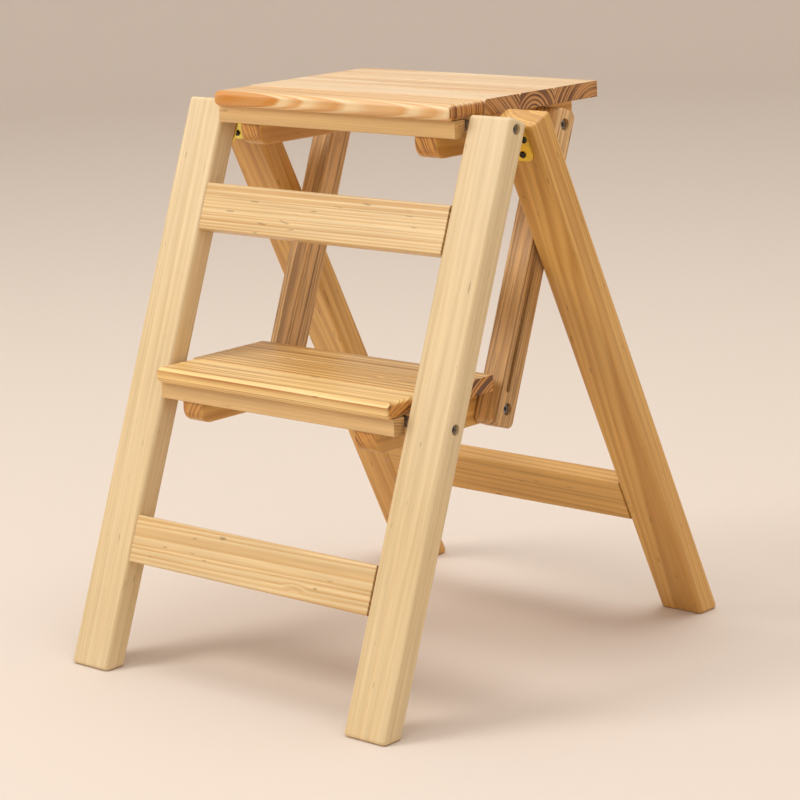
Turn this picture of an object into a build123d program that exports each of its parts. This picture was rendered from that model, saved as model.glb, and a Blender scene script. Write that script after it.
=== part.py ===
from build123d import *
from math import asin, atan2, cos, degrees, hypot, radians, sin
import os

os.makedirs("parts", exist_ok=True)

# A folding two-step wooden step ladder, in millimetres and degrees.
# X runs across the ladder, +Y to its back and +Z up.  The origin is on the floor,
# at the middle of the open ladder's footprint.  Lengths up a leg are "along" it, and
# lengths square to its front face are "behind" that face.

# ---- driving dimensions -------------------------------------------------------------
top_height = 500.0              # floor to the top step's surface
step_rise = 236.0               # from the lower step's surface to the top step's
overall_width = 378.0
leg_width = 46.0                # across the ladder
leg_thickness = 22.0            # of the front legs
rear_leg_thickness = 25.0
leg_edge = 4.0                  # rounding of the legs' long edges
leg_end_edge = 3.0              # easing round the legs' ends
front_lean = 20.7               # the front legs lean back from upright
rear_lean = 25.4                # the rear legs lean forward from upright
front_leg_length = 525.0        # along the front face
rear_leg_above_hinge = 2.0

# Rails, with a tenon on each end
rail_thickness = 18.0
rail_height = 42.5
rail_edge = 2.0
upper_rail_along = 405.0
lower_rail_along = 101.0
rear_rail_along = 104.0
tenon_thickness = 9.0
tenon_height = 31.0
tenon_length = 22.0
mortise_spare = 1.0             # glue space at the bottom of a mortise

# The pair of hinges between the two frames
hinge_along = 519.5
hinge_to_face = 5.3             # from a hinge pin's axis to each leg's face
hinge_width = 35.0
hinge_inward = 4.0              # off the middle of the leg
leaf_length = 33.0
leaf_thickness = 1.8
leaf_corner = 8.0
knuckle_radius = 4.6
knuckle_count = 5
knuckle_gap = 0.3
hinge_pin_radius = 2.0
hinge_pin_bore = 2.05
leaf_screws = ((11.5, 13.0), (26.5, 6.5))    # below the pin, and each way from the middle

# Steps
board_half_width = 138.5
board_thickness = 14.0
stave_width = 46.5
stave_chamfer = 1.5
nose_radius = 5.0
board_corner = 2.5
nose_ahead_of_pivot = 25.5
top_board_depth = 201.5
lower_board_depth = 136.5
pivot_below_surface = 20.0
pivot_behind = 9.5              # behind the front legs' front face
crossbar_setback = 6.5
crossbar_thickness = 13.0
crossbar_height = 15.0
crossbar_edge = 1.0
batten_inner = 91.0
batten_outer = 115.0
batten_height = 34.0
batten_setback = 2.0            # the batten's nose behind the crossbar's face
batten_nose_radius = 12.0
batten_heel_radius = 14.0
batten_edge = 2.0
top_batten_reach = 169.0        # behind the pivot
lower_batten_reach = 138.0

# Links between the steps' rear pivots, measured from the front pivots
link_pivot_along = 32.0
link_pivot_behind = 121.0
link_inner = 116.5
link_outer = 141.0
link_depth = 24.5
link_end_above = 13.25          # from the upper pivot to the link's end
link_end_below = 16.0           # from the lower pivot to the link's end
link_corner = 6.0
link_edge = 1.5
groove_from_front = 8.0
groove_width = 4.6
groove_depth = 5.0
guide_pin_radius = 2.0
guide_pin_embed = 16.0
guide_pin_proud = 1.6

# Fasteners, as (radius, length) where a pair is given
bolt_radius = 3.0
running_radius = 3.08           # a bore that turns on a bolt
side_play = 0.3                 # between pieces that turn past each other
leg_bolt_head = (4.3, 5.0)
leg_bolt_recess = (4.6, 8.0)
link_bolt_head = (4.9, 4.0)
link_bolt_recess = (5.3, 7.0)
socket_across = 4.0
socket_depth = 2.6
nut_across = 10.0
nut_height = 5.0
nut_recess = (6.5, 7.0)
sleeve_radius = 5.5
washer_radius = 7.0
washer_thickness = 1.2
batten_screw = (2.0, 26.0)
batten_screw_head = (4.0, 3.0)
batten_screw_recess = (4.5, 20.0)
batten_screw_places = (14.0, 44.0, 90.0, 146.0)     # behind the pivot
hinge_screw = (1.5, 13.0)
hinge_screw_head = (3.0, 1.5)
cross_width = 0.8
cross_length = 3.6
cross_depth = 0.8
brad = (0.9, 17.0)
brad_from_joint = 5.0

# ---- places that follow -------------------------------------------------------------
lean = radians(front_lean)
rear_slope = radians(rear_lean)
rear_fold = front_lean + rear_lean          # the rear frame closes through this angle

leg_outer = overall_width / 2
leg_inner = leg_outer - leg_width
leg_middle = (leg_outer + leg_inner) / 2
hinge_middle = leg_middle - hinge_inward


def front_point(behind, along):
    """Y and Z of a point set out along and behind the front legs."""
    y = along * sin(lean) + behind * cos(lean)
    z = along * cos(lean) - behind * sin(lean)
    return y, z


def front_along(behind, z):
    """How far up the front legs a point of height z lies."""
    return (z + behind * sin(lean)) / cos(lean)


# The hinge pins, and the rear legs' front faces that pass just behind them
hinge_behind = leg_thickness + hinge_to_face
hinge_y, hinge_z = front_point(hinge_behind, hinge_along)
hinge_up_rear = (hinge_z + hinge_to_face * sin(rear_slope)) / cos(rear_slope)
rear_foot_y = hinge_y + hinge_up_rear * sin(rear_slope) + hinge_to_face * cos(rear_slope)
rear_leg_length = hinge_up_rear + rear_leg_above_hinge
footprint_depth = rear_foot_y + rear_leg_thickness / cos(rear_slope)

# The front pivots of the two steps, and the links' pivots behind them
top_pivot_z = top_height - pivot_below_surface
lower_pivot_z = top_pivot_z - step_rise
top_pivot_along = front_along(pivot_behind, top_pivot_z)
lower_pivot_along = front_along(pivot_behind, lower_pivot_z)
top_pivot_y = front_point(pivot_behind, top_pivot_along)[0]
lower_pivot_y = front_point(pivot_behind, lower_pivot_along)[0]
link_pivot_y, link_pivot_z = front_point(link_pivot_behind, link_pivot_along)
link_line = pivot_behind + link_pivot_behind        # behind the front legs' front face

# A pin in each rear leg's middle runs in a groove in the link's outer face.  The steps
# turn until the rear legs lie parallel to the front ones, so the groove's two ends are
# where the pin is in the open ladder and in the folded one.
groove_line = link_line - link_depth / 2 + groove_from_front
pin_up_rear = (
    rear_foot_y * cos(lean) + rear_leg_thickness / 2 * cos(lean + rear_slope) - groove_line
) / sin(lean + rear_slope)
pin_y = rear_foot_y - pin_up_rear * sin(rear_slope) + rear_leg_thickness / 2 * cos(rear_slope)
pin_z = pin_up_rear * cos(rear_slope) + rear_leg_thickness / 2 * sin(rear_slope)
pin_along = pin_y * sin(lean) + pin_z * cos(lean)
pin_below_hinge = hinge_up_rear - pin_up_rear
pin_behind_folded = leg_thickness + 2 * hinge_to_face + rear_leg_thickness / 2

arm = hypot(link_pivot_along, link_pivot_behind)
arm_open = atan2(link_pivot_behind, link_pivot_along)
arm_folded = asin((pin_behind_folded - (groove_line - link_line) - pivot_behind) / arm)
step_fold = degrees(arm_open - arm_folded)          # the steps turn through this angle
link_travel = arm * (cos(arm_folded) - cos(arm_open))
pin_travel = link_travel + pin_along - (hinge_along - pin_below_hinge)

# ---- shapes that repeat -------------------------------------------------------------


def block(x_range, y_range, z_range):
    """A box between two values of x, of y and of z."""
    size = [high - low for low, high in (x_range, y_range, z_range)]
    middle = [(low + high) / 2 for low, high in (x_range, y_range, z_range)]
    return Pos(*middle) * Box(*size)


def rod(x_range, y, z, radius):
    """A cylinder along X."""
    low, high = x_range
    return Pos((low + high) / 2, y, z) * Rot(0, 90, 0) * Cylinder(radius, high - low)


def hexagon(x_range, y, z, across):
    """A hexagonal prism along X."""
    low, high = x_range
    outline = Plane.YZ * RegularPolygon(across / 2, 6, major_radius=False)
    return Pos(low, y, z) * extrude(outline, high - low)


def head(x_range, y, z, radius):
    """A bolt's round head, with a hexagonal socket in its outer end."""
    low, high = x_range
    body = rod(x_range, y, z, radius)
    rim = body.edges().filter_by(GeomType.CIRCLE).sort_by(Axis.X)[-1]
    return fillet(rim, radius / 8) - hexagon((high - socket_depth, high), y, z, socket_across)


def both_sides(piece):
    """A right-hand piece and its mirror image."""
    return [piece, mirror(piece, about=Plane.YZ)]


def side_of(name, piece):
    """A right-hand piece and its mirror image, each as its own node."""
    return {f"{name}_right": piece, f"{name}_left": mirror(piece, about=Plane.YZ)}


def on_front(piece):
    """Stand a piece that is built upright along the front legs."""
    return Rot(-front_lean, 0, 0) * piece


def on_rear(piece):
    """Stand a piece that is built upright along the rear legs."""
    return Pos(0, rear_foot_y, 0) * Rot(rear_lean, 0, 0) * piece


def screw(shank, cap):
    """A pan-head screw, pointing down, whose head's underside is at the origin."""
    radius, length = shank
    cap_radius, cap_height = cap
    body = Pos(0, 0, -length / 2) * Cylinder(radius, length)
    tip = body.edges().filter_by(GeomType.CIRCLE).sort_by(Axis.Z)[0]
    body = chamfer(tip, length=radius * 2, length2=radius * 0.8)
    dome = Pos(0, 0, cap_height / 2) * Cylinder(cap_radius, cap_height)
    dome = fillet(dome.edges().filter_by(GeomType.CIRCLE).sort_by(Axis.Z)[-1], cap_height / 2)
    cross = Pos(0, 0, cap_height - cross_depth / 2) * (
        Box(cross_length, cross_width, cross_depth) + Box(cross_width, cross_length, cross_depth)
    )
    return body + dome - cross


# ---- legs and rails -----------------------------------------------------------------


def leg(length, thickness):
    """A square-cut leg, built upright and running on past the floor."""
    stick = block((leg_inner, leg_outer), (0, thickness), (-thickness, length))
    stick = fillet(stick.edges().filter_by(Axis.Z), leg_edge)
    return fillet(stick.faces().sort_by(Axis.Z)[-1].edges(), leg_end_edge)


def cut_foot(piece):
    """Trim a leg level with the floor, and ease its foot."""
    below = block((0, overall_width), (-top_height, 2 * top_height), (-top_height, 0))
    trimmed = piece - below
    sole = trimmed.faces().filter_by(Plane.XY).sort_by(Axis.Z)[0]
    return fillet(sole.edges(), leg_end_edge)


def tenon(along, length):
    """A rail's right-hand tenon, or with more length its mortise."""
    middle_y = rail_thickness / 2
    middle_z = along + rail_height / 2
    return block(
        (leg_inner, leg_inner + length),
        (middle_y - tenon_thickness / 2, middle_y + tenon_thickness / 2),
        (middle_z - tenon_height / 2, middle_z + tenon_height / 2),
    )


def rail(along):
    """A cross rail, flush with the legs' front faces."""
    body = block((-leg_inner, leg_inner), (0, rail_thickness), (along, along + rail_height))
    body = fillet(body.edges().filter_by(Axis.X), rail_edge)
    for end in both_sides(tenon(along, tenon_length)):
        body += end
    return body


def rail_brad():
    """The brad through the right rear leg's face that pins the rear rail's tenon."""
    radius, length = brad
    place = Pos(leg_inner + brad_from_joint, length / 2, rear_rail_along + rail_height / 2)
    return place * Rot(90, 0, 0) * Cylinder(radius, length)


def pivot_cut(along):
    """A step's bolt hole through the right front leg, with the head's recess."""
    recess_radius, recess_depth = leg_bolt_recess
    shank = rod((0, leg_outer + 1), pivot_behind, along, bolt_radius)
    return shank + rod((leg_outer - recess_depth, leg_outer + 1), pivot_behind, along, recess_radius)


def front_leg():
    stick = leg(front_leg_length, leg_thickness)
    for along in (upper_rail_along, lower_rail_along):
        stick -= tenon(along, tenon_length + mortise_spare)
    for along in (top_pivot_along, lower_pivot_along):
        stick -= pivot_cut(along)
    for piece in leaf_screw_set(-1):
        stick -= Pos(0, hinge_behind, hinge_along) * piece
    return cut_foot(on_front(stick))


def rear_leg():
    stick = leg(rear_leg_length, rear_leg_thickness)
    stick -= tenon(rear_rail_along, tenon_length + mortise_spare)
    stick -= rail_brad()
    stick -= guide_pin()
    for piece in leaf_screw_set(1):
        stick -= Pos(0, -hinge_to_face, hinge_up_rear) * piece
    return cut_foot(on_rear(stick))


def guide_pin():
    """The pin in the right rear leg that runs in the link's groove."""
    reach = (leg_inner - guide_pin_proud, leg_inner + guide_pin_embed)
    return rod(reach, rear_leg_thickness / 2, pin_up_rear, guide_pin_radius)


# ---- hinges, built round a pin along X at the origin, with the leg on the side given ----


def leaf_screw_set(side):
    """The screws of one leaf, whose leg lies on the +Y side (1) or the -Y side (-1)."""
    face = side * (hinge_to_face - leaf_thickness)
    for below, spread in leaf_screws:
        for x in (hinge_middle - spread, hinge_middle + spread):
            yield Pos(x, face, -below) * Rot(side * 90, 0, 0) * screw(hinge_screw, hinge_screw_head)


def hinge_leaf(side):
    """One leaf: a plate on the leg's face, and every other knuckle round the pin."""
    plate_sides = sorted((side * hinge_to_face, side * (hinge_to_face - leaf_thickness)))
    start = hinge_middle - hinge_width / 2
    plate = block((start, start + hinge_width), plate_sides, (-leaf_length, 0))
    lower = plate.edges().filter_by(Axis.Y).group_by(Axis.Z)[0]
    plate = fillet(lower, leaf_corner)
    pitch = hinge_width / knuckle_count
    mine = range(0 if side < 0 else 1, knuckle_count, 2)
    others = [index for index in range(knuckle_count) if index not in mine]
    for index in others:
        reach = (start + index * pitch - knuckle_gap, start + (index + 1) * pitch + knuckle_gap)
        plate -= rod(reach, 0, 0, knuckle_radius + knuckle_gap)
    for index in mine:
        reach = (start + index * pitch, start + (index + 1) * pitch)
        plate += rod(reach, 0, 0, knuckle_radius)
    plate -= rod((start - 1, start + hinge_width + 1), 0, 0, hinge_pin_bore)
    for piece in leaf_screw_set(side):
        plate -= piece
    return plate


def hinge_pin():
    half = hinge_width / 2
    return rod((hinge_middle - half, hinge_middle + half), 0, 0, hinge_pin_radius)


# ---- steps, built round their front pivot at the origin -----------------------------

surface = pivot_below_surface
underside = surface - board_thickness
crossbar_front = -nose_ahead_of_pivot + crossbar_setback


def stave(front, back, is_first, is_last):
    """One board of a step: chamfered where it meets its neighbours."""
    width = (-board_half_width, board_half_width)
    piece = block(width, (front, back), (underside, surface))
    ends = piece.edges().filter_by(Axis.Z)
    if is_first:
        piece = fillet(ends.group_by(Axis.Y)[0], board_corner)
        nose = piece.faces().sort_by(Axis.Y)[0].edges().filter_by(Axis.X)
        piece = fillet(nose, nose_radius)
    if is_last:
        piece = fillet(ends.group_by(Axis.Y)[-1], board_corner)
    across = piece.faces().sort_by(Axis.Z)[-1].edges().filter_by(Axis.X).sort_by(Axis.Y)
    joints = []
    if not is_first:
        joints.append(across[0])
    if not is_last:
        joints.append(across[-1])
    return chamfer(joints, stave_chamfer)


def crossbar():
    """The strip glued under the board just behind its nose."""
    piece = block(
        (-board_half_width, board_half_width),
        (crossbar_front, crossbar_front + crossbar_thickness),
        (underside - crossbar_height, underside),
    )
    lower = piece.faces().sort_by(Axis.Z)[0].edges()
    return fillet(lower, crossbar_edge)


def batten(reach):
    """The right side member, notched for the crossbar and bored for both pivots."""
    bottom = underside - batten_height
    piece = block(
        (batten_inner, batten_outer),
        (crossbar_front + batten_setback, reach),
        (bottom, underside),
    )
    low_corners = piece.edges().filter_by(Axis.X).group_by(Axis.Z)[0].sort_by(Axis.Y)
    piece = fillet(low_corners[-1], batten_heel_radius)
    low_corner = piece.edges().filter_by(Axis.X).group_by(Axis.Z)[0].sort_by(Axis.Y)[0]
    piece = fillet(low_corner, batten_nose_radius)
    rim = piece.faces().sort_by(Axis.Z)[0].edges().filter_by(Axis.Y)
    piece = fillet(rim, batten_edge)
    piece -= block(
        (batten_inner - 1, batten_outer + 1),
        (crossbar_front - 1, crossbar_front + crossbar_thickness),
        (underside - crossbar_height, underside + 1),
    )
    recess_radius, recess_depth = nut_recess
    for y, z, radius in ((0, 0, running_radius), (link_pivot_y, link_pivot_z, bolt_radius)):
        piece -= rod((batten_inner - 1, batten_outer + 1), y, z, radius)
        piece -= rod((batten_inner - 1, batten_inner + recess_depth), y, z, recess_radius)
    return piece


def batten_screws(places):
    """The right batten's screws, driven up into the board from deep recesses."""
    recess_depth = batten_screw_recess[1]
    seat = underside - batten_height + recess_depth
    middle = (batten_inner + batten_outer) / 2
    for y in places:
        yield Pos(middle, y, seat) * Rot(180, 0, 0) * screw(batten_screw, batten_screw_head)


def screw_recesses(places):
    """The recesses that the right batten's screws are driven through."""
    radius, depth = batten_screw_recess
    bottom = underside - batten_height
    middle = (batten_inner + batten_outer) / 2
    for y in places:
        yield Pos(middle, y, bottom + depth / 2) * Cylinder(radius, depth)


def link_bolt():
    """The right link's bolt, fixed in the batten, with the link turning on it."""
    head_radius, head_height = link_bolt_head
    seat = link_outer - link_bolt_recess[1] + side_play
    shank = rod((nut_outer_face, seat), link_pivot_y, link_pivot_z, bolt_radius)
    return shank + head((seat, seat + head_height), link_pivot_y, link_pivot_z, head_radius)


def link_washer():
    """The washer that keeps the right link off the batten."""
    reach = (batten_outer, batten_outer + washer_thickness)
    ring = rod(reach, link_pivot_y, link_pivot_z, washer_radius)
    return ring - rod(reach, link_pivot_y, link_pivot_z, bolt_radius)


nut_outer_face = batten_inner + nut_recess[1] - nut_height


def nut(y, z, clear_of_floor):
    """A nut in the right batten's recess, this far off the recess's floor."""
    low = nut_outer_face - clear_of_floor
    body = hexagon((low, low + nut_height), y, z, nut_across)
    return body - rod((low - 1, low + nut_height + 1), y, z, bolt_radius)


def step_pieces(name, depth, reach):
    """All that turns with one step, by node name."""
    nodes = {}
    fronts = []
    front = -nose_ahead_of_pivot
    back_of_board = front + depth
    while back_of_board - front > stave_width * 1.5:
        fronts.append(front)
        front += stave_width
    fronts.append(front)
    backs = fronts[1:] + [back_of_board]
    places = [y for y in batten_screw_places if y < back_of_board]
    screws = [both for piece in batten_screws(places) for both in both_sides(piece)]
    for index, (front, back) in enumerate(zip(fronts, backs)):
        board = stave(front, back, index == 0, index == len(fronts) - 1)
        for piece in screws:
            board -= piece
        nodes[f"{name}_stave_{index + 1}"] = board
    side = batten(reach)
    for piece in screw_recesses(places):
        side -= piece
    for piece in batten_screws(places):
        side -= piece
    nodes.update(side_of(f"{name}_batten", side))
    nodes[f"{name}_crossbar"] = crossbar()
    nodes[f"{name}_batten_screws"] = screws
    nodes[f"{name}_link_bolts"] = both_sides(link_bolt())
    nodes[f"{name}_link_nuts"] = both_sides(nut(link_pivot_y, link_pivot_z, 0))
    nodes[f"{name}_link_washers"] = both_sides(link_washer())
    return nodes


# ---- the pieces on the front legs that carry a step, built round its front pivot ----


def leg_bolt():
    """A step's right front bolt, with its head deep in the leg."""
    head_radius, head_height = leg_bolt_head
    seat = leg_outer - leg_bolt_recess[1]
    shank = rod((nut_outer_face - side_play, seat), 0, 0, bolt_radius)
    return shank + head((seat, seat + head_height), 0, 0, head_radius)


def leg_sleeve():
    """The sleeve on that bolt, between the leg and the step's batten."""
    reach = (batten_outer + side_play, leg_inner)
    return rod(reach, 0, 0, sleeve_radius) - rod(reach, 0, 0, bolt_radius)


# ---- links --------------------------------------------------------------------------


def link():
    """The right link, built upright along the front legs."""
    bottom = lower_pivot_along + link_pivot_along
    top = top_pivot_along + link_pivot_along
    sides = (link_line - link_depth / 2, link_line + link_depth / 2)
    piece = block((link_inner, link_outer), sides, (bottom - link_end_below, top + link_end_above))
    piece = fillet(piece.edges().filter_by(Axis.X), link_corner)
    rims = piece.faces().filter_by(Plane.YZ).edges()
    piece = fillet(rims, link_edge)
    recess_radius, recess_depth = link_bolt_recess
    for along in (bottom, top):
        piece -= rod((link_inner - 1, link_outer + 1), link_line, along, running_radius)
        piece -= rod((link_outer - recess_depth, link_outer + 1), link_line, along, recess_radius)
    groove_x = (link_outer - groove_depth, link_outer + 1)
    groove_ends = (pin_along - pin_travel, pin_along)
    half = groove_width / 2
    piece -= block(groove_x, (groove_line - half, groove_line + half), groove_ends)
    for along in groove_ends:
        piece -= rod(groove_x, groove_line, along, half)
    return piece


# ---- assembly -----------------------------------------------------------------------


def build():
    """Every node, by name, in the open ladder."""
    nodes = {}
    nodes.update(side_of("front_leg", front_leg()))
    nodes["front_upper_rail"] = on_front(rail(upper_rail_along))
    nodes["front_lower_rail"] = on_front(rail(lower_rail_along))
    nodes.update(side_of("rear_leg", rear_leg()))
    brads = both_sides(rail_brad())
    rear_rail = rail(rear_rail_along)
    for piece in brads:
        rear_rail -= piece
    nodes["rear_rail"] = on_rear(rear_rail)
    nodes["rear_rail_brads"] = [on_rear(piece) for piece in brads]
    nodes["guide_pins"] = [on_rear(piece) for piece in both_sides(guide_pin())]
    nodes.update(side_of("link", on_front(link())))

    at_front = Pos(0, hinge_behind, hinge_along)
    at_rear = Pos(0, -hinge_to_face, hinge_up_rear)
    nodes["hinge_front_leaves"] = both_sides(on_front(at_front * hinge_leaf(-1)))
    nodes["hinge_rear_leaves"] = both_sides(on_rear(at_rear * hinge_leaf(1)))
    nodes["hinge_pins"] = both_sides(on_front(at_front * hinge_pin()))
    nodes["hinge_front_screws"] = [
        both for piece in leaf_screw_set(-1) for both in both_sides(on_front(at_front * piece))
    ]
    nodes["hinge_rear_screws"] = [
        both for piece in leaf_screw_set(1) for both in both_sides(on_rear(at_rear * piece))
    ]

    steps = (
        ("top", top_pivot_y, top_pivot_z, top_board_depth, top_batten_reach),
        ("lower", lower_pivot_y, lower_pivot_z, lower_board_depth, lower_batten_reach),
    )
    for name, y, z, depth, reach in steps:
        pivot = Pos(0, y, z)
        pieces = step_pieces(name, depth, reach)
        pieces[f"{name}_leg_bolts"] = both_sides(leg_bolt())
        pieces[f"{name}_leg_sleeves"] = both_sides(leg_sleeve())
        pieces[f"{name}_leg_nuts"] = both_sides(nut(0, 0, side_play))
        for node, piece in pieces.items():
            solids = piece if isinstance(piece, list) else [piece]
            nodes[node] = [pivot * solid for solid in solids]
    return nodes


centring = Pos(0, -footprint_depth / 2, 0)
for node, pieces in build().items():
    solids = pieces if isinstance(pieces, list) else [pieces]
    export_step(Compound(children=[centring * solid for solid in solids]), f"parts/{node}.step")

joint_places = {
    "top step pivot": (top_pivot_y, top_pivot_z),
    "lower step pivot": (lower_pivot_y, lower_pivot_z),
    "link pivot on the top step": (top_pivot_y + link_pivot_y, top_pivot_z + link_pivot_z),
    "frame hinge": (hinge_y, hinge_z),
}
for label, (y, z) in joint_places.items():
    print(f"{label}: y {y - footprint_depth / 2:.4f}  z {z:.4f}")
print(f"footprint depth {footprint_depth:.4f}")
print(f"steps fold {step_fold:.4f} degrees, rear frame {rear_fold:.4f} degrees")
print(f"pin travels {pin_travel:.2f} in the groove")
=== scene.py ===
import bpy
from math import pi, radians, sin, cos
from mathutils import Matrix, Vector


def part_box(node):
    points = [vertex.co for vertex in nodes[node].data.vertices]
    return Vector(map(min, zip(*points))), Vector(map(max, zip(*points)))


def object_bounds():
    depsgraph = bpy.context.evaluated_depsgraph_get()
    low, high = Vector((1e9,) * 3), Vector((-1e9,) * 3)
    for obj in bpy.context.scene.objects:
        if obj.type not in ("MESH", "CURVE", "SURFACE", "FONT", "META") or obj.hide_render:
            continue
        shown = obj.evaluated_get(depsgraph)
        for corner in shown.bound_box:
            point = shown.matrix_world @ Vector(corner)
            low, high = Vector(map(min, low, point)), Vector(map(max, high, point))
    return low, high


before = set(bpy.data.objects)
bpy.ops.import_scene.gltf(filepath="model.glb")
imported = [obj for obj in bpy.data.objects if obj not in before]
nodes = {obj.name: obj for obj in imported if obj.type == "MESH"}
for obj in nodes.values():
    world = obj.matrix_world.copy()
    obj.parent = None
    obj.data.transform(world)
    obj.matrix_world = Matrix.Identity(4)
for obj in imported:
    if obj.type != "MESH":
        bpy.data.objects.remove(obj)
cad_low, cad_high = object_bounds()
centre = (cad_low + cad_high) / 2

# ---- how each piece of timber lies --------------------------------------------------
# A log's own axes: Z runs up the trunk, and X and Y across its rings.  Each frame below
# turns those axes to where the sawn piece lies in the ladder.
FRONT_LEAN = radians(20.7)
REAR_LEAN = radians(25.4)
UP_FRONT = Matrix.Rotation(-FRONT_LEAN, 3, "X")
UP_REAR = Matrix.Rotation(REAR_LEAN, 3, "X")
ACROSS = Matrix.Rotation(pi / 2, 3, "Y")
ACROSS_FRONT = UP_FRONT @ ACROSS
ACROSS_REAR = UP_REAR @ ACROSS
BACKWARD = Matrix.Rotation(-pi / 2, 3, "X")
MM = 0.001


# ---- node helpers -------------------------------------------------------------------


class Shader:
    """A material under construction: short calls that add and join its nodes."""

    def __init__(self, name):
        self.material = bpy.data.materials.new(name)
        self.material.use_nodes = True
        self.tree = self.material.node_tree
        self.tree.nodes.clear()
        self.surface = self.add("ShaderNodeBsdfPrincipled")
        output = self.add("ShaderNodeOutputMaterial")
        self.tree.links.new(self.surface.outputs[0], output.inputs[0])

    def add(self, kind, **settings):
        node = self.tree.nodes.new(kind)
        for key, value in settings.items():
            setattr(node, key, value)
        return node

    def feed(self, socket, value):
        """Join an output to a socket, or set the socket's own value."""
        if isinstance(value, bpy.types.NodeSocket):
            self.tree.links.new(value, socket)
        else:
            socket.default_value = value

    def math(self, operation, first, second=0.0, third=0.0):
        node = self.add("ShaderNodeMath", operation=operation)
        for socket, value in zip(node.inputs, (first, second, third)):
            self.feed(socket, value)
        return node.outputs[0]

    def vector(self, operation, first, second=(0, 0, 0)):
        node = self.add("ShaderNodeVectorMath", operation=operation)
        self.feed(node.inputs[0], first)
        if operation == "SCALE":
            self.feed(node.inputs["Scale"], second)
        else:
            self.feed(node.inputs[1], second)
        return node.outputs["Value" if operation in ("LENGTH", "DOT_PRODUCT") else "Vector"]

    def noise(self, vector, scale=1.0, detail=2.0, roughness=0.5, output="Fac"):
        node = self.add("ShaderNodeTexNoise")
        self.feed(node.inputs["Vector"], vector)
        node.inputs["Scale"].default_value = scale
        node.inputs["Detail"].default_value = detail
        node.inputs["Roughness"].default_value = roughness
        return node.outputs[output]

    def line_noise(self, value, scale, detail=1.0):
        node = self.add("ShaderNodeTexNoise", noise_dimensions="1D")
        self.feed(node.inputs["W"], value)
        node.inputs["Scale"].default_value = scale
        node.inputs["Detail"].default_value = detail
        return node.outputs["Fac"]

    def ramp(self, value, stops):
        """A curve through (place, height) stops, as a grey value."""
        node = self.add("ShaderNodeValToRGB")
        elements = node.color_ramp.elements
        while len(elements) < len(stops):
            elements.new(0.5)
        for element, (place, height) in zip(elements, stops):
            element.position = place
            element.color = (height, height, height, 1)
        self.feed(node.inputs[0], value)
        return node.outputs[0]

    def stretch(self, value, low, high, to_low=0.0, to_high=1.0, smooth=False):
        node = self.add("ShaderNodeMapRange")
        node.interpolation_type = "SMOOTHSTEP" if smooth else "LINEAR"
        for socket, number in zip(node.inputs, (value, low, high, to_low, to_high)):
            self.feed(socket, number)
        return node.outputs[0]

    def mix(self, share, first, second, blend="MIX"):
        """A mix of two colours."""
        node = self.add("ShaderNodeMix", data_type="RGBA", blend_type=blend)
        sockets = [s for s in node.inputs if s.type == "RGBA"]
        self.feed(node.inputs[0], share)
        for socket, value in zip(sockets, (first, second)):
            if isinstance(value, tuple):
                value = (*value, 1.0)
            self.feed(socket, value)
        return [s for s in node.outputs if s.type == "RGBA"][0]

    def place(self, location=(0, 0, 0), turn=None):
        """Object coordinates seen from a frame at this place, turned this way."""
        coordinates = self.add("ShaderNodeTexCoord").outputs["Object"]
        node = self.add("ShaderNodeMapping", vector_type="TEXTURE")
        self.feed(node.inputs["Vector"], coordinates)
        node.inputs["Location"].default_value = location
        if turn is not None:
            node.inputs["Rotation"].default_value = turn.to_euler()
        return node.outputs[0]

    def eased_normal(self, radius):
        """The surface's normal with its sharp edges rounded a little."""
        node = self.add("ShaderNodeBevel", samples=4)
        node.inputs["Radius"].default_value = radius
        return node.outputs[0]

    def edges(self, radius):
        """How near a point is to an edge, from 0 on a flat face to 1."""
        flat = self.add("ShaderNodeNewGeometry").outputs["Normal"]
        likeness = self.vector("DOT_PRODUCT", self.eased_normal(radius), flat)
        return self.stretch(likeness, 1.0, 0.8)

    def finish_with(self, colour, roughness, height, depth, easing):
        """Feed the colour, roughness and relief to the surface."""
        bump = self.add("ShaderNodeBump")
        bump.inputs["Strength"].default_value = 1.0
        bump.inputs["Distance"].default_value = depth
        self.feed(bump.inputs["Height"], height)
        self.feed(bump.inputs["Normal"], self.eased_normal(easing))
        self.feed(self.surface.inputs["Base Color"], colour)
        self.feed(self.surface.inputs["Roughness"], roughness)
        self.feed(self.surface.inputs["Normal"], bump.outputs[0])
        return self.material


def middle(node):
    low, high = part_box(node)
    return (low + high) / 2


def coat(node, material):
    """Give a CAD node's every face this material."""
    slots = nodes[node].material_slots
    for slot in slots:
        slot.material = material


# ---- timber -------------------------------------------------------------------------

# Each look: spring growth in two tones, the darker late growth, how strongly that shows,
# and how dark the sawn ends are, from 0, like the sides, to 1.
PALE_PINE = {
    "early": (0.775, 0.62, 0.38),
    "early_other": (0.73, 0.555, 0.295),
    "late": (0.57, 0.36, 0.13),
    "contrast": 0.36,
    "end": 0.15,
}
RAIL_PINE = {
    "early": (0.80, 0.62, 0.35),
    "early_other": (0.76, 0.55, 0.27),
    "late": (0.54, 0.27, 0.06),
    "contrast": 0.9,
    "end": 0.5,
}
NOSE_PINE = {
    "early": (0.85, 0.64, 0.36),
    "early_other": (0.82, 0.59, 0.31),
    "late": (0.62, 0.25, 0.035),
    "contrast": 1.35,
    "end": 1.0,
}
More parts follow.
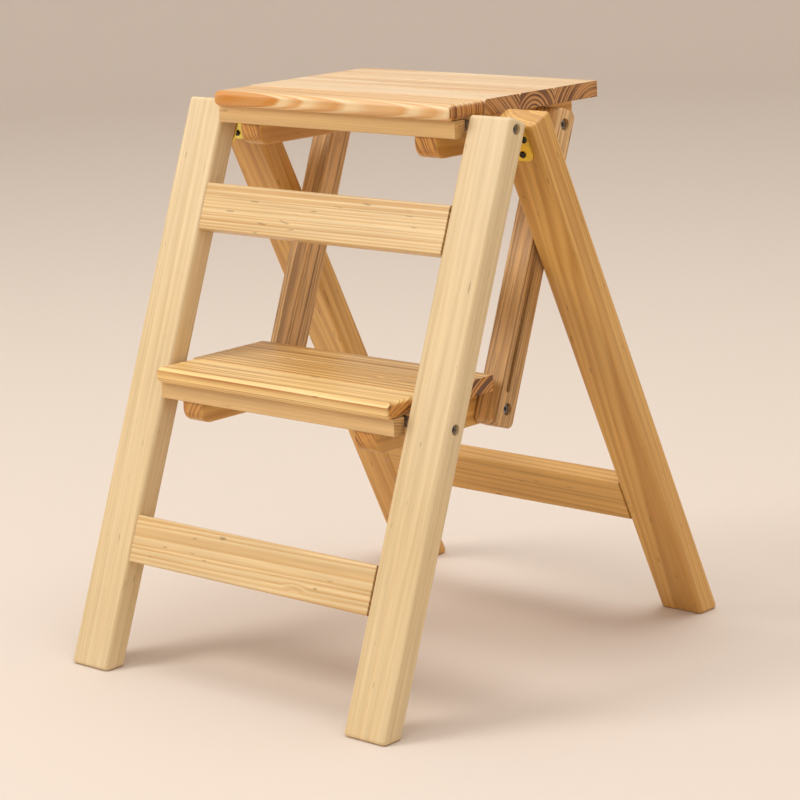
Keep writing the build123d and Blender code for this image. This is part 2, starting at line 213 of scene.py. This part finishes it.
# The top staves' pine: its spring growth is partly the wood's own tone and partly painted sheen.
# It is made paler and less yellow than the lower staves to stand in for the lacquer's glossy
# reflection across the top.
TOP_PINE_PALED_BY_SHEEN = {
    "early": (0.84, 0.66, 0.43),
    "early_other": (0.81, 0.60, 0.35),
    "late": (0.58, 0.27, 0.07),
    "contrast": 0.85,
    "end": 1.0,
}
GOLD_PINE = {
    "early": (0.94, 0.675, 0.29),
    "early_other": (0.90, 0.59, 0.21),
    "late": (0.42, 0.165, 0.028),
    "contrast": 1.05,
    "end": 1.0,
}
AMBER_PINE = {
    "early": (0.77, 0.475, 0.15),
    "early_other": (0.71, 0.39, 0.10),
    "late": (0.46, 0.19, 0.035),
    "contrast": 0.65,
    "end": 0.1,
}
BATTEN_PINE = dict(AMBER_PINE, contrast=0.85, end=0.6)
PLAIN_WOOD = {
    "early": (0.73, 0.49, 0.225),
    "early_other": (0.69, 0.445, 0.18),
    "late": (0.56, 0.33, 0.12),
    "contrast": 0.3,
    "end": 0.3,
}
BROWN_WOOD = {
    "early": (0.90, 0.60, 0.28),
    "early_other": (0.68, 0.41, 0.165),
    "late": (0.22, 0.095, 0.03),
    "contrast": 0.9,
    "end": 0.4,
}
END_GRAIN = (0.74, 0.50, 0.28)      # how much darker a sawn end is, in each colour
END_RING = (0.13, 0.05, 0.014)      # the colour of the rings on a sawn end

# How fine each pattern is, per metre: twice across the grain, then along it
WANDER_SCALE = (22, 22, 3.2)
PATCH_SCALE = (30, 30, 6)
FIBRE_SCALE = (1500, 1500, 26)
STREAK_SCALE = (260, 260, 7)
TONE_SCALE = (9, 9, 4)
PORE_SCALE = (900, 900, 22)
FLECK_SCALE = (420, 420, 60)

# A year's growth, as (part of the year, share of late wood)
YEAR = ((0, 0.4), (0.09, 0), (0.32, 0.06), (0.62, 0.7), (0.86, 1), (1, 0.4))
YEAR_UNEVENNESS = 2.4               # how far a year's edge may shift, in years
YEAR_SCALE = 0.42
SEED_STEP = (3.17, 1.73, 0.91)      # moves each piece to its own part of the patterns
YEAR_SEED_STEP = 7.3
KNOT_SHAPE = (1, 1, 0.33)           # a knot's figure is three times as long as wide
KNOT_RISE = 0.55                    # how far a knot bends the rings, in its own size
GRAIN_RELIEF = 0.09 * MM
WORN_WIDTH = 1.5 * MM
WOOD_EASING = 0.7 * MM

# Knots just under a surface, as (x, y, z, size) in the log's frame from a node's middle
KNOTS = {
    "top_stave_4": ((-7, -15, -24, 13),),
    "front_lower_rail": ((11, -6, 58, 7),),
    "rear_leg_left": ((3, -12, 60, 9),),
    "lower_stave_2": ((-7, 4, 70, 8),),
}


def bent_radius(shader, log, moved, pith, taper, waver, knots):
    """Distance from the pith, changed by slow wander, the log's taper and its knots."""
    slow = shader.vector("MULTIPLY", moved, WANDER_SCALE)
    wander = shader.vector("SUBTRACT", shader.noise(slow, output="Color"), (0.5, 0.5, 0.5))
    bent = shader.vector("ADD", log, shader.vector("SCALE", wander, waver * 2 * MM))
    radius = shader.vector("LENGTH", shader.vector("MULTIPLY", bent, (1, 1, 0)))
    split = shader.add("ShaderNodeSeparateXYZ")
    shader.feed(split.inputs[0], log)
    radius = shader.math("MULTIPLY_ADD", split.outputs["Z"], taper, radius)
    for x, y, z, size in knots:
        knot = ((x - pith[0]) * MM, (y - pith[1]) * MM, z * MM)
        away = shader.vector("SUBTRACT", bent, knot)
        away = shader.vector("LENGTH", shader.vector("MULTIPLY", away, KNOT_SHAPE))
        reach = size * MM
        rise = shader.stretch(away, 0.0, reach, reach * KNOT_RISE, 0.0, smooth=True)
        radius = shader.math("ADD", radius, rise)
    return radius


def late_growth(shader, radius, moved, ring, seed):
    """How much late wood each point holds, with years of uneven width and strength."""
    years = shader.math("DIVIDE", radius, ring * MM)
    uneven = shader.line_noise(shader.math("ADD", years, seed * YEAR_SEED_STEP), YEAR_SCALE)
    years = shader.math("MULTIPLY_ADD", uneven, YEAR_UNEVENNESS, years)
    latewood = shader.ramp(shader.math("FRACT", years), YEAR)
    year_tone = shader.add("ShaderNodeTexWhiteNoise", noise_dimensions="1D")
    shader.feed(year_tone.inputs["W"], shader.math("ADD", shader.math("FLOOR", years), seed))
    strong = shader.stretch(year_tone.outputs["Value"], 0, 1, 0.55, 1.0)
    patches = shader.noise(shader.vector("MULTIPLY", moved, PATCH_SCALE))
    latewood = shader.math("MULTIPLY", latewood, strong)
    return shader.math("MULTIPLY", latewood, shader.stretch(patches, 0.3, 0.7, 0.65, 1.1))


def wood_colour(shader, turn, look, latewood, moved):
    """The colour of the growth rings, darker where the wood is sawn across."""
    tone = shader.noise(shader.vector("MULTIPLY", moved, TONE_SCALE), detail=1)
    colour = shader.mix(shader.stretch(tone, 0.3, 0.7), look["early"], look["early_other"])
    share = shader.math("MULTIPLY", latewood, look["contrast"])
    colour = shader.mix(share, colour, look["late"])
    facing = shader.add("ShaderNodeTexCoord").outputs["Normal"]
    along = shader.vector("DOT_PRODUCT", facing, turn @ Vector((0, 0, 1)))
    sawn_across = shader.stretch(shader.math("ABSOLUTE", along), 0.6, 0.95, smooth=True)
    end = shader.math("MULTIPLY", sawn_across, look["end"])
    colour = shader.mix(end, colour, shader.mix(1.0, colour, END_GRAIN, "MULTIPLY"))
    ring_line = shader.stretch(latewood, 0.15, 0.75, smooth=True)
    return shader.mix(shader.math("MULTIPLY", end, ring_line), colour, END_RING)


def wood_shade(shader, moved, streaks, fine, pores):
    """A grey that darkens fibres, open pores, small flecks and worn edges."""
    shade = shader.stretch(streaks, 0.25, 0.75, 0.90, 1.08)
    shade = shader.math("MULTIPLY", shade, shader.stretch(fine, 0.2, 0.8, 0.93, 1.05))
    if pores:
        where = shader.vector("MULTIPLY", moved, PORE_SCALE)
        open_pores = shader.noise(where, detail=2, roughness=0.6)
        pore = shader.stretch(open_pores, 0.52, 0.66)
        shade = shader.math("MULTIPLY", shade, shader.stretch(pore, 0, 1, 1.0, 1 - pores))
    flecks = shader.noise(shader.vector("MULTIPLY", moved, FLECK_SCALE), detail=0)
    fleck = shader.stretch(flecks, 0.80, 0.85)
    shade = shader.math("MULTIPLY", shade, shader.stretch(fleck, 0, 1, 1.0, 0.6))
    worn = shader.edges(WORN_WIDTH)
    shade = shader.math("MULTIPLY", shade, shader.stretch(worn, 0, 1, 1.0, 0.90))
    grey = shader.add("ShaderNodeCombineColor")
    for socket in grey.inputs[:3]:
        shader.feed(socket, shade)
    return grey.outputs[0]


def timber(node, turn, look, pith, ring, taper, waver, gloss, seed, pores=0.0):
    """Wood sawn from a log whose pith passes beside the piece.

    turn is the log's frame and pith its (x, y) in that frame from the piece's middle.
    ring is the width of a year's growth and waver how far the rings wander, in
    millimetres.  taper is how fast they close up the trunk, gloss how much lacquer
    shows, and pores how dark the open pores are.
    """
    shader = Shader(f"{node}_wood")
    log = shader.place(middle(node) + turn @ Vector((pith[0] * MM, pith[1] * MM, 0)), turn)
    moved = shader.vector("ADD", log, tuple(seed * step for step in SEED_STEP))
    knots = KNOTS.get(node, ())
    radius = bent_radius(shader, log, moved, pith, taper, waver, knots)
    latewood = late_growth(shader, radius, moved, ring, seed)
    fine = shader.noise(shader.vector("MULTIPLY", moved, FIBRE_SCALE), detail=3)
    streaks = shader.noise(shader.vector("MULTIPLY", moved, STREAK_SCALE), detail=3)

    colour = wood_colour(shader, turn, look, latewood, moved)
    colour = shader.mix(1.0, colour, wood_shade(shader, moved, streaks, fine, pores), "MULTIPLY")
    roughness = shader.stretch(streaks, 0.2, 0.8, 0.36, 0.50)
    roughness = shader.math("MULTIPLY_ADD", latewood, -0.06, roughness)
    height = shader.math("MULTIPLY_ADD", latewood, 0.5, fine)
    shader.surface.inputs["Coat Weight"].default_value = gloss
    shader.surface.inputs["Coat Roughness"].default_value = 0.27
    shader.surface.inputs["Specular IOR Level"].default_value = 0.4
    return shader.finish_with(colour, roughness, height, GRAIN_RELIEF, WOOD_EASING)


def timber_pieces():
    """Every wooden node: its log's frame and look, and where it was sawn from."""
    cuts = (
        # node, log's frame, look, pith, ring, taper, waver, gloss
        ("front_leg_right", UP_FRONT, PALE_PINE, (60, 80), 5.0, 0.010, 3.0, 0.15),
        ("front_leg_left", UP_FRONT, PALE_PINE, (-75, 60), 4.4, 0.012, 3.0, 0.15),
        ("rear_leg_right", UP_REAR, AMBER_PINE, (26, 55), 5.6, 0.022, 3.0, 0.15),
        ("rear_leg_left", UP_REAR, AMBER_PINE, (-30, 45), 5.0, 0.020, 3.0, 0.15),
        ("front_upper_rail", ACROSS_FRONT, RAIL_PINE, (-90, 40), 3.0, 0.002, 0.9, 0.15),
        ("front_lower_rail", ACROSS_FRONT, RAIL_PINE, (-62, 62), 4.0, 0.008, 1.6, 0.15),
        ("rear_rail", ACROSS_REAR, AMBER_PINE, (35, -60), 4.6, 0.012, 2.0, 0.15),
        ("top_stave_1", ACROSS, NOSE_PINE, (-6, -150), 4.2, 0.075, 1.5, 0.30),
        ("top_stave_2", ACROSS, TOP_PINE_PALED_BY_SHEEN, (70, -70), 4.6, 0.012, 1.5, 0.30),
        ("top_stave_3", ACROSS, TOP_PINE_PALED_BY_SHEEN, (15, -5), 4.4, 0.006, 1.2, 0.30),
        ("top_stave_4", ACROSS, TOP_PINE_PALED_BY_SHEEN, (34, 26), 3.8, 0.010, 1.2, 0.30),
        ("lower_stave_1", ACROSS, GOLD_PINE, (80, 30), 3.2, 0.003, 0.8, 0.30),
        ("lower_stave_2", ACROSS, GOLD_PINE, (62, -54), 4.6, 0.006, 1.2, 0.30),
        ("lower_stave_3", ACROSS, GOLD_PINE, (66, 48), 5.0, 0.006, 1.4, 0.30),
        ("top_crossbar", ACROSS, PLAIN_WOOD, (160, 30), 2.4, 0.010, 1.5, 0.12),
        ("lower_crossbar", ACROSS, PLAIN_WOOD, (150, -40), 2.6, 0.010, 1.5, 0.12),
        ("top_batten_left", BACKWARD, BATTEN_PINE, (-50, 22), 4.6, 0.012, 2.0, 0.12),
        ("top_batten_right", BACKWARD, BATTEN_PINE, (-56, 26), 4.4, 0.012, 2.0, 0.12),
        ("lower_batten_left", BACKWARD, BATTEN_PINE, (42, 30), 4.8, 0.012, 2.0, 0.12),
        ("lower_batten_right", BACKWARD, BATTEN_PINE, (-44, 34), 4.6, 0.012, 2.0, 0.12),
    )
    for index, (node, *cut) in enumerate(cuts):
        coat(node, timber(node, *cut, seed=index + 1))
    for index, side in enumerate(("left", "right")):
        node = f"link_{side}"
        seed = index + 51
        coat(node, timber(node, UP_FRONT, BROWN_WOOD, (34, 38), 4.2, 0.03, 4.0, 0.15, seed, 0.4))


# ---- metal --------------------------------------------------------------------------


METAL_RELIEF = 0.02 * MM
METAL_EASING = 0.15 * MM
METAL_WORN_WIDTH = 0.3 * MM
BARE_METAL = (0.75, 0.73, 0.70)
SCRATCH_SCALE = (400, 2600, 2600)


def metal(name, colour, other, roughness, mottle=60.0, metallic=1.0):
    """Plated or blackened steel, mottled and finely scratched."""
    shader = Shader(name)
    where = shader.place()
    clouds = shader.noise(where, mottle, 3)
    scratches = shader.noise(shader.vector("MULTIPLY", where, SCRATCH_SCALE), detail=2)
    mixed = shader.mix(shader.stretch(clouds, 0.35, 0.65), colour, other)
    worn = shader.edges(METAL_WORN_WIDTH)
    mixed = shader.mix(shader.math("MULTIPLY", worn, 0.35), mixed, BARE_METAL)
    rough = shader.stretch(clouds, 0.3, 0.7, roughness - 0.06, roughness + 0.1)
    shader.surface.inputs["Metallic"].default_value = metallic
    return shader.finish_with(mixed, rough, scratches, METAL_RELIEF, METAL_EASING)


def metal_pieces():
    steel = metal("grey_steel", (0.42, 0.41, 0.41), (0.30, 0.29, 0.29), 0.35)
    zinc = metal("yellow_zinc", (0.85, 0.66, 0.10), (0.72, 0.62, 0.16), 0.30, 90.0)
    black = metal("black_oxide", (0.020, 0.018, 0.017), (0.045, 0.038, 0.034), 0.38, 200.0, 0.6)
    coat("hinge_front_leaves", zinc)
    coat("hinge_rear_leaves", zinc)
    coat("hinge_front_screws", black)
    coat("hinge_rear_screws", black)
    coat("hinge_pins", zinc)
    for node in ("rear_rail_brads", "guide_pins"):
        coat(node, steel)
    for step in ("top", "lower"):
        for kind in ("leg_bolts", "leg_nuts", "leg_sleeves", "link_bolts", "link_nuts",
                     "link_washers", "batten_screws"):
            coat(f"{step}_{kind}", steel)


# ---- floor, light and camera --------------------------------------------------------


def floor():
    """A round pale floor that curves up into a wall, well beyond the camera."""
    flat, cove, wall = 4.5, 1.5, 3.0
    profile = [(0.0, 0.0), (flat, 0.0)]
    steps = 12
    for step in range(1, steps + 1):
        angle = step / steps * pi / 2
        profile.append((flat + cove * sin(angle), cove * (1 - cos(angle))))
    profile.append((flat + cove, cove + wall))
    around = 96
    points = [(0.0, 0.0, 0.0)]
    faces = []
    for radius, height in profile[1:]:
        for turn in range(around):
            angle = turn / around * 2 * pi
            points.append((radius * cos(angle), radius * sin(angle), height))
    for turn in range(around):
        follows = (turn + 1) % around
        faces.append((0, 1 + turn, 1 + follows))
        for row in range(len(profile) - 2):
            low = 1 + row * around
            high = low + around
            faces.append((low + turn, high + turn, high + follows, low + follows))
    mesh = bpy.data.meshes.new("studio_floor")
    mesh.from_pydata(points, [], faces)
    mesh.shade_smooth()
    studio = bpy.data.objects.new("studio_floor", mesh)
    bpy.context.scene.collection.objects.link(studio)
    shader = Shader("studio_floor")
    shader.surface.inputs["Base Color"].default_value = (0.72, 0.63, 0.545, 1)
    shader.surface.inputs["Roughness"].default_value = 0.75
    mesh.materials.append(shader.material)


def soft_light(name, place, size, power, colour):
    """An area light at a place, facing the ladder."""
    light = bpy.data.lights.new(name, "AREA")
    light.shape = "DISK"
    light.size = size
    light.energy = power
    light.color = colour
    lamp = bpy.data.objects.new(name, light)
    lamp.location = place
    lamp.rotation_euler = (centre - Vector(place)).to_track_quat("-Z", "Y").to_euler()
    bpy.context.scene.collection.objects.link(lamp)


def lights():
    soft_light("key", (-1.6, -2.2, 2.6), 1.6, 56, (1.0, 0.975, 0.95))
    soft_light("fill", (2.6, -1.2, 1.6), 1.8, 7, (1.0, 0.98, 0.96))
    soft_light("top", (0.2, 0.4, 3.0), 2.2, 27, (1.0, 0.99, 0.98))
    world = bpy.data.worlds.new("studio")
    world.use_nodes = True
    background = world.node_tree.nodes["Background"]
    background.inputs["Color"].default_value = (1.0, 0.975, 0.965, 1)
    background.inputs["Strength"].default_value = 0.86
    bpy.context.scene.world = world
    bpy.context.scene.view_settings.view_transform = "Standard"


def camera():
    """A long lens from the front right, a little above the ladder."""
    azimuth = radians(42.03)
    downward = radians(12.69)
    roll = radians(-2.17)
    position = Vector((1.6072, -1.7719, 0.7591))
    lens = bpy.data.cameras.new("camera")
    lens.sensor_width = 36
    lens.lens = 122.76
    eye = bpy.data.objects.new("camera", lens)
    turn = Matrix.Rotation(azimuth, 4, "Z") @ Matrix.Rotation(pi / 2 - downward, 4, "X")
    eye.matrix_world = Matrix.Translation(position) @ turn @ Matrix.Rotation(roll, 4, "Z")
    bpy.context.scene.collection.objects.link(eye)
    bpy.context.scene.camera = eye


camera()
lights()
floor()
timber_pieces()
metal_pieces()
